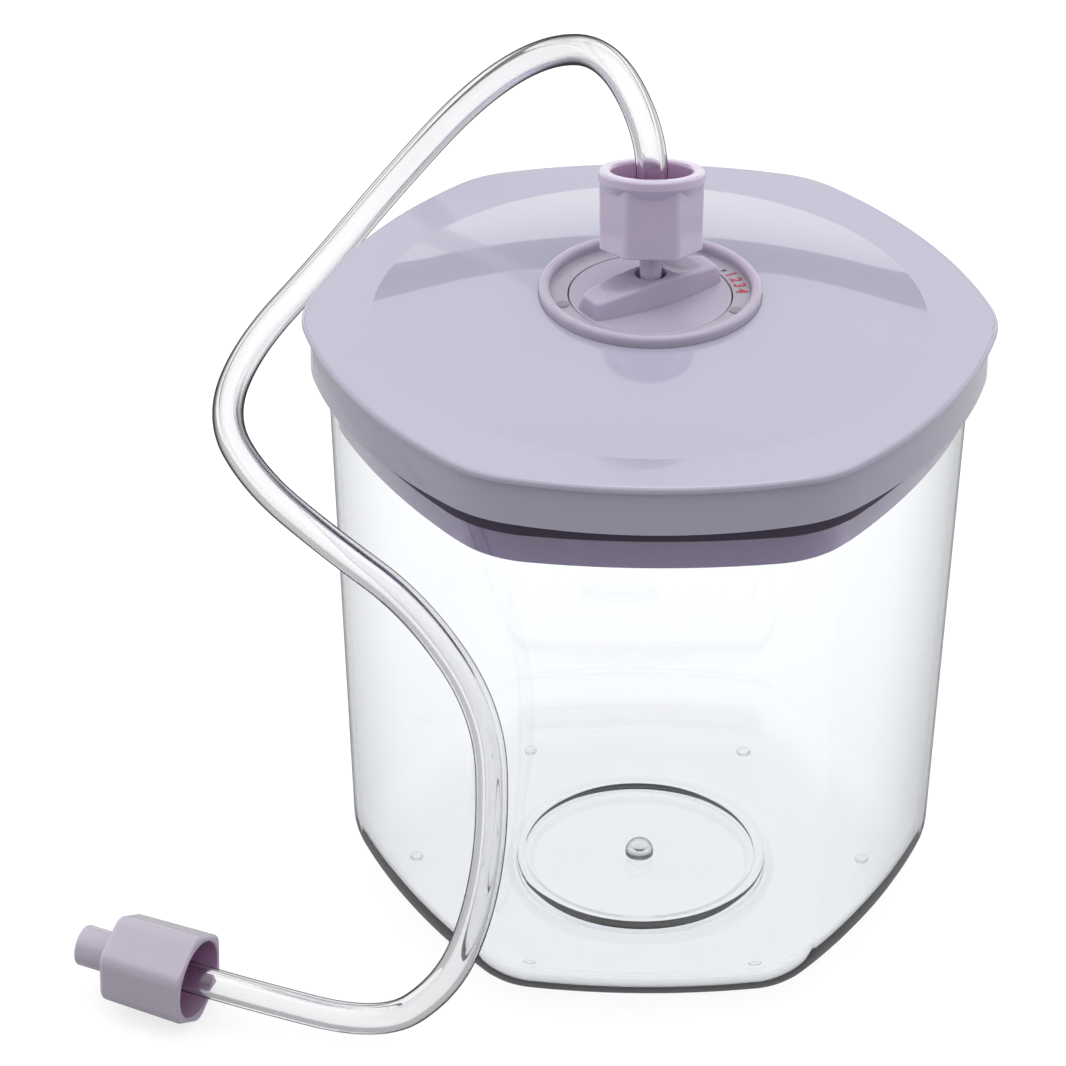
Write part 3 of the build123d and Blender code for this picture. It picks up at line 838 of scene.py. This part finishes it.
@dataclass(frozen=True)
class BowedHexagon:
    """Outline of six bowed sides joined by round corners, with corners on X.

    Args:
        apothem: Distance from the axis to the middle of a side.
        bow: Radius of a side.
        corner: Radius of a corner.
        side_steps: Points on each side.
        corner_steps: Points on each corner.
    """

    apothem: float
    bow: float
    corner: float
    side_steps: int = 22
    corner_steps: int = 16

    def grown(self, amount: float) -> "BowedHexagon":
        """The outline moved out by an amount."""
        return BowedHexagon(self.apothem + amount, self.bow + amount, self.corner + amount)

    def points(self) -> np.ndarray:
        """Points round the outline, evenly spaced on each arc.

        Returns:
            One row of x and y for each point.
        """
        lag = self.bow - self.apothem
        half = SIDE_TURN / 2
        slant = math.sqrt((self.bow - self.corner) ** 2 - (lag * math.sin(half)) ** 2)
        reach = slant - lag * math.cos(half)
        across = reach * math.sin(half)
        along = reach * math.cos(half) + lag
        swing = math.atan2(across, along)
        rows = []
        for side in range(SIDES):
            turn = SIDE_TURN * side
            for aim, offset, radius, spread, steps in (
                (turn, reach, self.corner, half - swing, self.corner_steps),
                (turn + half, -lag, self.bow, swing, self.side_steps),
            ):
                centre = offset * np.array([math.cos(aim), math.sin(aim)])
                for angle in np.linspace(aim - spread, aim + spread, steps, endpoint=False):
                    rows.append(centre + radius * np.array([math.cos(angle), math.sin(angle)]))
        return np.array(rows)


# Sub-assemblies


@dataclass
class Tank:
    """The clear tank: one closed wall from its underside over its rim to its floor, a nub and six feet.

    Its sizes are in millimetres.

    Args:
        wardrobe: The finishes.
    """

    wardrobe: Wardrobe
    height: float = 139.5
    foot_height: float = 0.5
    base: BowedHexagon = field(default_factory=lambda: BowedHexagon(61.8, 165.0, 19.7))
    rim_growth: float = 5.1
    wall: float = 2.3
    floor: float = 3.2
    edge: float = 15.3
    rim_edge: float = 0.7
    bead_radius: float = 28.0
    bead_width: float = 1.3
    bead_height: float = 0.9
    middle_radius: float = 32.0
    under_radii: tuple[float, ...] = (0.01, 8.0, 16.0, 24.0, 32.0)
    under_shares: tuple[float, ...] = (0.35, 0.7, 0.9)
    floor_shares: tuple[float, ...] = (0.9, 0.7, 0.35, 0.1)
    floor_radii: tuple[float, ...] = (24.0, 16.0, 8.0, 1.0)
    edge_rings: int = 14
    wall_height_rings: int = 26
    rim_rings: int = 6
    bead_rings: int = 11
    nub_radius: float = 3.2
    nub_height: float = 3.8
    nub_steps: int = 48
    nub_rings: int = 24
    nub_tip: float = 0.02
    nub_lift: float = 0.02
    foot_radius: float = 1.7
    foot_core: float = 0.6
    foot_bevel: float = 0.12
    foot_gap: float = 0.03
    foot_pitch_radius: float = 51.8
    foot_steps: int = 40

    def outline(self, height: float) -> BowedHexagon:
        """Outside of the wall at a height."""
        share = (height - self.foot_height) / (self.height - self.foot_height)
        return self.base.grown(self.rim_growth * share)

    def ring(self, inset: float, height: float) -> np.ndarray:
        """Ring of points that follows the wall.

        Args:
            inset: Distance inside the wall's outer face.
            height: Height of the ring.

        Returns:
            One row for each point.
        """
        flat = self.outline(height).grown(-inset).points()
        return np.column_stack([flat, np.full(len(flat), height)])

    def round_ring(self, share: float, radius: float, inset: float, height: float) -> np.ndarray:
        """Ring between a circle and the wall's own outline.

        Args:
            share: 0 for the circle and 1 for the outline.
            radius: The circle's radius.
            inset: Inset of the outline.
            height: Height of the ring.

        Returns:
            One row for each point.
        """
        outer = self.ring(inset, height)
        angle = np.arctan2(outer[:, 1], outer[:, 0])
        circle = np.column_stack([radius * np.cos(angle), radius * np.sin(angle), outer[:, 2]])
        return circle * (1 - share) + outer * share

    def wall_rings(self) -> list[np.ndarray]:
        """Rings from the underside's middle, up the outside, over the rim and down to the floor's middle.

        Returns:
            The rings in a row.
        """
        under, top, floor_top = self.foot_height, self.height, self.foot_height + self.floor
        shoulder = top - self.rim_edge
        rings = [self.round_ring(0, radius, self.edge, under) for radius in self.under_radii]
        for share in self.under_shares:
            rings.append(self.round_ring(share, self.middle_radius, self.edge, under))
        for inset, lift in quarter_round(self.edge, self.edge_rings):
            rings.append(self.ring(inset, under + lift))
        for height in np.linspace(under + self.edge, shoulder, self.wall_height_rings)[1:]:
            rings.append(self.ring(0, height))
        rim = quarter_round(self.rim_edge, self.rim_rings)
        rings += [self.ring(inset, top - drop) for inset, drop in rim[-2::-1]]
        rings += [self.ring(self.wall - inset, top - drop) for inset, drop in rim]
        inner_edge = self.edge - self.wall
        for height in np.linspace(shoulder, floor_top + inner_edge, self.wall_height_rings)[1:]:
            rings.append(self.ring(self.wall, height))
        for inset, lift in quarter_round(inner_edge, self.edge_rings)[-2::-1]:
            rings.append(self.ring(self.wall + inset, floor_top + lift))
        for share in self.floor_shares:
            rings.append(self.round_ring(share, self.middle_radius, self.edge, floor_top))
        for angle in np.linspace(0, math.pi, self.bead_rings):
            radius = self.bead_radius + self.bead_width * math.cos(angle)
            rings.append(self.round_ring(0, radius, 0, floor_top + self.bead_height * math.sin(angle)))
        rings += [self.round_ring(0, radius, 0, floor_top) for radius in self.floor_radii]
        return rings

    def build(self) -> None:
        """Make the tank, its nub and its feet."""
        rings = self.wall_rings()
        tank = mesh_piece("tank_shell", np.vstack(rings), capped_faces(len(rings), len(rings[0])))
        self.fit(tank)
        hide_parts("tank")
        self.fit(self.nub(), Finish.NUB)
        for index in range(SIDES):
            self.fit(self.foot(index))

    def nub(self) -> Piece:
        """Round nub at the middle of the floor, a hair over it.

        Returns:
            The nub.
        """
        floor_top = self.foot_height + self.floor
        ball = (self.nub_radius**2 + self.nub_height**2) / (2 * self.nub_height)
        centre = floor_top + self.nub_height - ball
        start = math.asin((floor_top + self.nub_lift - centre) / ball)
        rows = []
        for angle in np.linspace(start, math.pi / 2 - self.nub_tip, self.nub_rings):
            radius, height = ball * math.cos(angle), centre + ball * math.sin(angle)
            rows.append(ring_row((0.0, 0.0), radius, height, self.nub_steps))
        return mesh_piece("tank_nub", np.vstack(rows), capped_faces(len(rows), self.nub_steps))

    def foot(self, index: int) -> Piece:
        """One small moulded foot, a hair under the underside.

        Args:
            index: Which corner it stands at, from 0.

        Returns:
            The foot.
        """
        turn = SIDE_TURN * index
        centre = (self.foot_pitch_radius * math.cos(turn), self.foot_pitch_radius * math.sin(turn))
        low, high = self.foot_gap, self.foot_height - self.foot_gap
        rows = [
            ring_row(centre, radius, height, self.foot_steps)
            for radius, height in (
                (self.foot_core, low),
                (self.foot_radius - self.foot_bevel, low),
                (self.foot_radius, low + self.foot_bevel),
                (self.foot_radius, high),
                (self.foot_core, high),
            )
        ]
        faces = capped_faces(len(rows), self.foot_steps)
        return mesh_piece(f"tank_foot_{index + 1}", np.vstack(rows), faces)

    def fit(self, piece: Piece, finish: Finish = Finish.TANK) -> None:
        """Finish one clear piece and let it ride on the tank.

        Args:
            piece: The piece.
            finish: Its finish.
        """
        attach(piece, "tank")
        self.wardrobe.dress(piece, finish)


@dataclass
class HoseLine:
    """The clear hose between its two fittings, with its sizes in millimetres and its length in metres.

    Args:
        wardrobe: The finishes.
    """

    wardrobe: Wardrobe
    radius: float = 3.5
    bore_radius: float = 2.0
    length: float = 0.472
    round_steps: int = 48
    samples: int = 18
    spline_order: int = 3

    def centreline(self) -> np.ndarray:
        """Points on the route's smooth spline.

        Returns:
            One row for each point, in millimetres.
        """
        curve = bpy.data.curves.new("hose_route", "CURVE")
        curve.dimensions = "3D"
        curve.resolution_u = self.samples
        spline = curve.splines.new("NURBS")
        spline.points.add(len(HOSE_ROUTE) - 1)
        for held, place in zip(spline.points, HOSE_ROUTE):
            held.co = (*(value * MM for value in place), 1.0)
        spline.order_u = self.spline_order
        spline.use_endpoint_u = True
        line = curve_mesh(curve)
        points = np.array([vertex.co[:] for vertex in line.vertices]) / MM
        bpy.data.meshes.remove(line)
        return points

    def build(self) -> None:
        points = self.centreline()
        ahead = np.gradient(points, axis=0)
        ahead /= np.linalg.norm(ahead, axis=1)[:, None]
        side = np.cross(ahead[0], (1.0, 0.0, 0.0))
        outer, inner = [], []
        angles = np.linspace(0, math.tau, self.round_steps, endpoint=False)
        for place, along in zip(points, ahead):
            side = side - along * (side @ along)
            side /= np.linalg.norm(side)
            other = np.cross(along, side)
            wheel = np.outer(np.cos(angles), side) + np.outer(np.sin(angles), other)
            outer.append(place + self.radius * wheel)
            inner.append(place + self.bore_radius * wheel)
        rings = outer + inner[::-1]
        hose = mesh_piece("hose_tube", np.vstack(rings), stack_faces(len(rings), self.round_steps, True))
        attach(hose, "hose_line")
        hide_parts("hose")
        self.wardrobe.dress(hose, Finish.HOSE)


@dataclass
class DialMarks:
    """Plain red numbers and a dark pointer on the dial, in millimetres and degrees.

    Args:
        wardrobe: The finishes.
    """

    wardrobe: Wardrobe
    radius: float = 20.1
    surface: float = 152.74
    thickness: float = 0.05
    size: float = 3.7
    weight: float = 0.09
    numbers: tuple[tuple[str, float], ...] = (("1", 27.0), ("2", 19.5), ("3", 12.0), ("4", 4.5))
    pointer_angle: float = 33.5
    pointer_radius: float = 18.9
    pointer_length: float = 1.3
    pointer_spread: float = 1.6

    def number(self, text: str, turn: float) -> Piece:
        """One number, its top outwards.

        Args:
            text: The digit.
            turn: Its angle round the dial, in degrees.

        Returns:
            The number as a thin mesh.
        """
        curve = bpy.data.curves.new(f"dial_number_{text}", "FONT")
        curve.body = text
        curve.size = self.size * MM
        curve.align_x = "CENTER"
        curve.align_y = "CENTER"
        curve.extrude = self.thickness / 2 * MM
        curve.offset = self.weight * MM
        mesh = curve_mesh(curve)
        angle = math.radians(turn)
        spot = Vector((self.radius * math.cos(angle), self.radius * math.sin(angle), self.surface)) * MM
        spin = Matrix.Rotation(angle - math.pi / 2, 4, "Z")
        mesh.transform(Matrix.Translation(spot) @ spin)
        return add_object(f"dial_number_{text}", mesh)

    def pointer(self) -> Piece:
        """Small dark wedge beside the knob's edge.

        Returns:
            The wedge.
        """
        low, high = self.surface - self.thickness / 2, self.surface + self.thickness / 2
        base = self.pointer_radius + self.pointer_length
        flat = []
        for radius, turn in (
            (self.pointer_radius, 0.0),
            (base, self.pointer_spread),
            (base, -self.pointer_spread),
        ):
            angle = math.radians(self.pointer_angle + turn)
            flat.append((radius * math.cos(angle), radius * math.sin(angle)))
        vertices = np.array([(x, y, low) for x, y in flat] + [(x, y, high) for x, y in flat])
        faces = [(0, 2, 1), (3, 4, 5), (0, 1, 4, 3), (1, 2, 5, 4), (2, 0, 3, 5)]
        return mesh_piece("dial_pointer", vertices, faces)

    def build(self) -> None:
        """Make every mark and let it ride on the lid."""
        marks = [(self.number(text, turn), Finish.MARKS) for text, turn in self.numbers]
        marks.append((self.pointer(), Finish.POINTER))
        for piece, finish in marks:
            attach(piece, "lid")
            self.wardrobe.dress(piece, finish)


@dataclass
class CarriedPieces:
    """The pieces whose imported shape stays, each with its finish.

    Args:
        nodes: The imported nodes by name.
        wardrobe: The finishes.
    """

    nodes: dict[str, Piece]
    wardrobe: Wardrobe

    def build(self) -> None:
        """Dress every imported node."""
        finishes = {
            "lid_cover": Finish.LID,
            "lid_plug": Finish.PLUG,
            "lid_gasket": Finish.GASKET_SHADOW,
            "dial_ring": Finish.DIAL,
            "position_dots": Finish.DOTS,
            "knob": Finish.KNOB,
            "knob_ring_seal": Finish.SEALS,
            "knob_clip": Finish.VALVE,
            "port_grommet": Finish.SEALS,
            "valve_body": Finish.VALVE,
            "valve_plunger": Finish.VALVE,
            "plunger_pin": Finish.STEEL,
            "plunger_seal": Finish.SEALS,
            "valve_guard": Finish.VALVE,
            "hose_adapter": Finish.LID_FITTING,
            "pump_adapter": Finish.PUMP_FITTING,
        }
        for name, finish in finishes.items():
            self.wardrobe.dress(self.nodes[name], finish)
            log.info("dressed %s", name)


# Stage, light and camera


@dataclass
class Studio:
    """Pale floor, soft light and the camera.

    Args:
        half_width: Half of the floor's width, in metres.
        lens: Focal length, in millimetres.
        sensor: Width of the camera's sensor, in millimetres.
        far: How far the camera sees, in metres.
        eye: The camera's place, in millimetres.
        tilt: How far the camera looks down, in radians.
        roll: How far the camera leans, in radians.
        wall_levels: Light behind the canister by the sine of its elevation.
        front_levels: Light in front of it, in the same way.
        back_span: Where the front turns into the back, along the view.
        side_light: Soft light added low at both sides of it.
        side_span: Where the sides start, across the view.
        side_top: Elevations between which the side light ends, as sines.
        studio_share: Share of these levels that reaches the canister.
        floor_glow: Light of the floor where it is seen, so that it shows white.
        mirror_glow: The same as mirrored in gloss.
        floor_colour: Colour of the floor.
        box_place: Where the soft box hangs, in metres.
        box_aim: What it points at, in metres.
        box_width: Its width and depth, in metres.
        box_power: Its power, in watts.
    """

    half_width: float = 1.6
    lens: float = 171.65
    sensor: float = 36.0
    far: float = 20.0
    eye: Point = (-25.40, -977.13, 692.84)
    tilt: float = 0.5521
    roll: float = 0.0061
    wall_levels: tuple[Level, ...] = (
        (-1.0, 0.9), (0.0, 1.45), (0.286, 1.45), (0.294, 0.05),
        (0.390, 0.05), (0.398, 1.3), (0.60, 1.4), (0.75, 1.65),
    )
    front_levels: tuple[Level, ...] = ((-1.0, 0.26), (0.0, 0.26), (0.3, 0.4), (0.6, 1.15), (0.75, 1.6))
    back_span: Level = (-0.15, 0.25)
    side_light: float = 1.05
    side_span: Level = (0.6, 0.8)
    side_top: Level = (0.45, 0.75)
    studio_share: float = 0.8
    floor_glow: float = 0.74
    mirror_glow: float = 0.2
    floor_colour: Colour = (0.32, 0.32, 0.323)
    box_place: Point = (0.1, 0.1, 1.5)
    box_aim: Point = (0.0, 0.0, 0.1)
    box_width: float = 0.8
    box_power: float = 3.0

    def floor(self) -> None:
        """Pale floor that renders white and keeps the canister's shadow."""
        reach = self.half_width / MM
        square = ((-1.0, -1.0, 0.0), (1.0, -1.0, 0.0), (1.0, 1.0, 0.0), (-1.0, 1.0, 0.0))
        vertices = reach * np.array(square)
        floor = mesh_piece("floor", vertices, [(0, 1, 2, 3)])
        made, sheet = new_material("floor_pale")
        matte = sheet.add("ShaderNodeBsdfDiffuse")
        matte.inputs["Color"].default_value = rgba(self.floor_colour)
        path = sheet.add("ShaderNodeLightPath")
        seen, through = path.outputs["Is Camera Ray"], path.outputs["Is Transmission Ray"]
        shown = sheet.math("MULTIPLY", sheet.math("MAXIMUM", seen, through), self.floor_glow)
        mirrored = sheet.math("MULTIPLY", path.outputs["Is Glossy Ray"], self.mirror_glow)
        glow = sheet.add("ShaderNodeEmission")
        sheet.link(sheet.math("MAXIMUM", shown, mirrored), glow.inputs["Strength"])
        both = sheet.add("ShaderNodeAddShader")
        sheet.link(matte.outputs[0], both.inputs[0])
        sheet.link(glow.outputs[0], both.inputs[1])
        sheet.link(both.outputs[0], sheet.add("ShaderNodeOutputMaterial").inputs["Surface"])
        floor.data.materials.append(made)

    def world(self) -> None:
        """Light round the canister: a bright wall behind with a dark gap over it, and a dim front."""
        world = bpy.data.worlds.new("studio")
        world.use_nodes = True
        world.node_tree.nodes.clear()
        sheet = NodeSheet(world.node_tree)
        split = sheet.add("ShaderNodeSeparateXYZ")
        sheet.link(sheet.add("ShaderNodeTexCoord").outputs["Generated"], split.inputs[0])
        across, behind, rise = split.outputs
        wall = sheet.steps(rise, self.wall_levels)
        front = sheet.steps(rise, self.front_levels)
        back = sheet.span(behind, *self.back_span)
        beside = sheet.span(sheet.math("ABSOLUTE", across), *self.side_span)
        low = sheet.math("SUBTRACT", 1.0, sheet.span(rise, *self.side_top))
        more = sheet.math("MULTIPLY", back, sheet.math("SUBTRACT", wall, front))
        level = sheet.math("ADD", front, more)
        path = sheet.add("ShaderNodeLightPath")
        low_side = sheet.math("MULTIPLY", beside, low)
        low_side = sheet.math("MULTIPLY", low_side, path.outputs["Is Diffuse Ray"])
        level = sheet.math("ADD", level, sheet.math("MULTIPLY", low_side, self.side_light))
        shown = sheet.math("MAXIMUM", path.outputs["Is Camera Ray"], path.outputs["Is Transmission Ray"])
        keep = sheet.math("MULTIPLY", sheet.math("SUBTRACT", 1.0, shown), self.studio_share)
        sky = sheet.add("ShaderNodeBackground")
        sky.inputs["Color"].default_value = rgba((1.0, 1.0, 1.0))
        sheet.link(sheet.math("ADD", shown, sheet.math("MULTIPLY", keep, level)), sky.inputs["Strength"])
        sheet.link(sky.outputs[0], sheet.add("ShaderNodeOutputWorld").inputs["Surface"])
        bpy.context.scene.world = world

    def lamp(self) -> None:
        """Wide soft box high over the canister."""
        data = bpy.data.lights.new("top_box", "AREA")
        data.shape = "RECTANGLE"
        data.size = self.box_width
        data.size_y = self.box_width
        data.energy = self.box_power
        box = add_object("top_box", data)
        box.location = self.box_place
        look = Vector(self.box_aim) - Vector(self.box_place)
        box.rotation_euler = look.to_track_quat("-Z", "Y").to_euler()

    def camera(self) -> None:
        """Camera at the photograph's place and angle."""
        data = bpy.data.cameras.new("camera")
        data.lens = self.lens
        data.sensor_width = self.sensor
        data.clip_end = self.far
        seen = add_object("camera", data)
        seen.rotation_mode = "XYZ"
        seen.location = [value * MM for value in self.eye]
        look = Vector((0.0, math.cos(self.tilt), -math.sin(self.tilt)))
        turn = look.to_track_quat("-Z", "Y").to_matrix().to_4x4()
        lean = turn @ Matrix.Rotation(self.roll, 4, "Z")
        seen.rotation_euler = lean.to_euler()
        bpy.context.scene.camera = seen

    def build(self) -> None:
        """Set the whole studio."""
        self.floor()
        self.world()
        self.lamp()
        self.camera()
        bpy.context.scene.view_settings.view_transform = "Standard"


def main() -> None:
    """Build the canister's looks in order."""
    logging.basicConfig(level=logging.INFO, format="%(name)s: %(message)s")
    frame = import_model()
    wardrobe = Wardrobe()
    Studio().build()
    log.info("studio set")
    HoseLine(wardrobe).build()
    log.info("hose laid")
    CarriedPieces(frame["nodes"], wardrobe).build()
    DialMarks(wardrobe).build()
    Tank(wardrobe).build()
    log.info("tank moulded")


if __name__ == "__main__":
    main()
